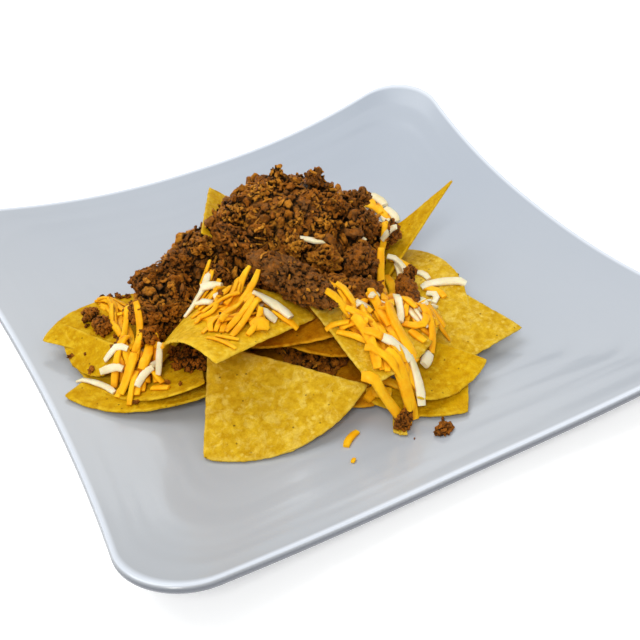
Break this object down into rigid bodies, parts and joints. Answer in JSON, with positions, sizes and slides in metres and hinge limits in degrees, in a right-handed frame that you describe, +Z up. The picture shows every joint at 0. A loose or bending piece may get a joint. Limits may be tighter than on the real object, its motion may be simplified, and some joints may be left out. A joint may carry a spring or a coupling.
{
  "type": "plated nachos",
  "caption": "Mound of browned minced meat ringed by bent tortilla chips with melted cheese, on a square plate with upturned corners.",
  "frame": {"origin": "centre of the plate's foot, on the surface it stands on", "axes": "+Z up, X and Y along the plate's sides, the open end of the mound's left spur towards -X"},
  "size_m": [0.2908, 0.2908, 0.069],
  "materials": {
    "china": "cool white glaze, glossy, with faint rings",
    "corn": "fried corn, dry and mottled yellow",
    "meat": "browned minced meat, moist and crumbly",
    "cheese": "melted grated cheese, satin, orange with cream-white shreds"
  },
  "bodies": {
    "root": {"cheese_arch": "cheese", "cheese_back": "cheese", "cheese_left": "cheese", "cheese_right": "cheese", "cheese_slope": "cheese", "chip_arch": "corn", "chip_back": "corn", "chip_front": "corn", "chip_inside_lower": "corn", "chip_inside_upper": "corn", "chip_left_inner": "corn", "chip_left_lower": "corn", "chip_left_middle": "corn", "chip_left_upper": "corn", "chip_right_back": "corn", "chip_right_lower": "corn", "chip_right_middle": "corn", "chip_right_upper": "corn", "chip_shard": "corn", "chip_slope": "corn", "chip_under_front": "corn", "chip_upright": "corn", "meat_front": "meat", "meat_left_1": "meat", "meat_left_2": "meat", "meat_left_3": "meat", "meat_left_4": "meat", "meat_mound": "meat", "meat_on_plate": "meat", "meat_right": "meat", "plate": "china"}
  },
  "joints": []
}
